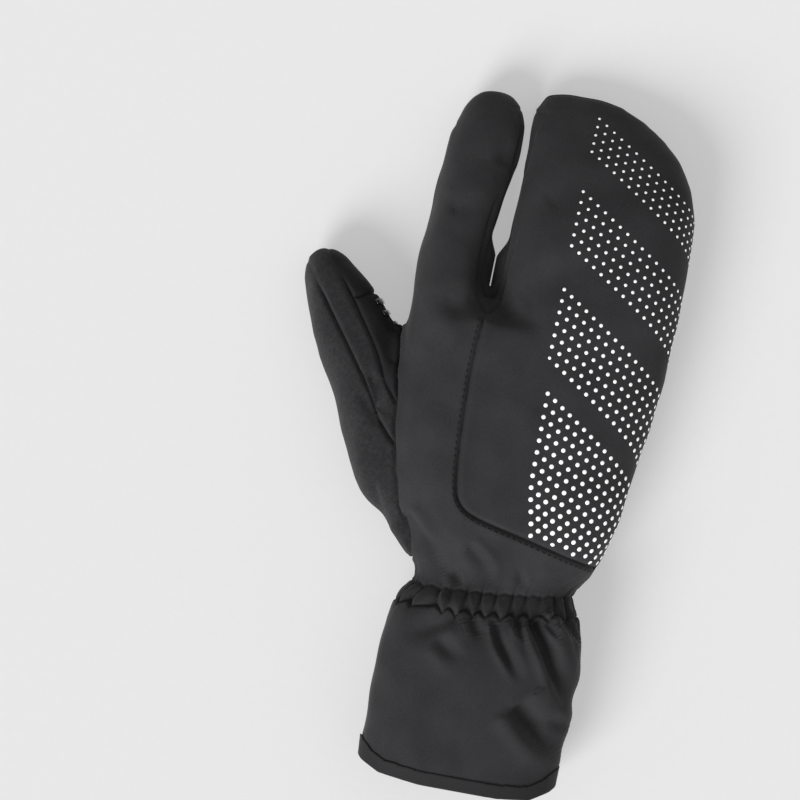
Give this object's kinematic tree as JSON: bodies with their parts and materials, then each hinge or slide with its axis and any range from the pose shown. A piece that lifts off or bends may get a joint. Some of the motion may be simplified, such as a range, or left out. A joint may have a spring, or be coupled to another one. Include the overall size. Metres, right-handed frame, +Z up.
{
  "type": "three-finger winter glove",
  "caption": "Padded waterproof glove with thumb, index finger and one mitten pocket, a gathered wrist, a long cuff with a strap, and silicone grip bars on its palm.",
  "frame": {"origin": "centre of the glove's box, on the surface that it lies on, palm down", "axes": "+Y towards the fingertips, +Z up out of the back of the hand, thumb towards -X"},
  "size_m": [0.1678, 0.3148, 0.052],
  "materials": {
    "softshell": "matte black softshell, fine woven face",
    "brushed_cloth": "brushed terry, short fibres",
    "palm_cloth": "matte black synthetic palm cloth",
    "touch_cloth": "smooth touchscreen cloth",
    "trim": "black elastic binding",
    "loop_pile": "loop half of a hook-and-loop closure",
    "silicone": "glossy printed silicone"
  },
  "bodies": {
    "root": {"back_shell": "softshell", "mitten_back": "softshell", "palm_panel": "palm_cloth", "index_touch_tip": "touch_cloth", "fourchette": "softshell", "thumb_back": "brushed_cloth", "thumb_side": "brushed_cloth", "thumb_palm": "palm_cloth", "thumb_touch_tip": "touch_cloth", "cuff_palm": "softshell", "cuff_gusset": "trim", "cuff_binding": "trim", "loop_patch": "loop_pile", "closing_strap": "softshell", "thenar_patch": "palm_cloth", "palm_bar_1": "silicone", "palm_bar_2": "silicone", "palm_bar_3": "silicone", "palm_bar_4": "silicone", "palm_bar_5": "silicone", "palm_bar_6": "silicone", "palm_bar_7": "silicone", "palm_bar_8": "silicone", "palm_bar_9": "silicone", "palm_bar_10": "silicone", "index_bar_1": "silicone", "index_bar_2": "silicone", "index_bar_3": "silicone", "index_bar_4": "silicone", "mitten_bar_1": "silicone", "mitten_bar_2": "silicone", "mitten_bar_3": "silicone", "mitten_bar_4": "silicone", "thumb_bar_1": "silicone", "thumb_bar_2": "silicone", "thumb_bar_3": "silicone", "thumb_bar_4": "silicone", "thenar_bar_1": "silicone", "thenar_bar_2": "silicone", "thenar_bar_3": "silicone", "thenar_bar_4": "silicone", "thenar_bar_5": "silicone", "thenar_bar_6": "silicone"}
  },
  "joints": []
}
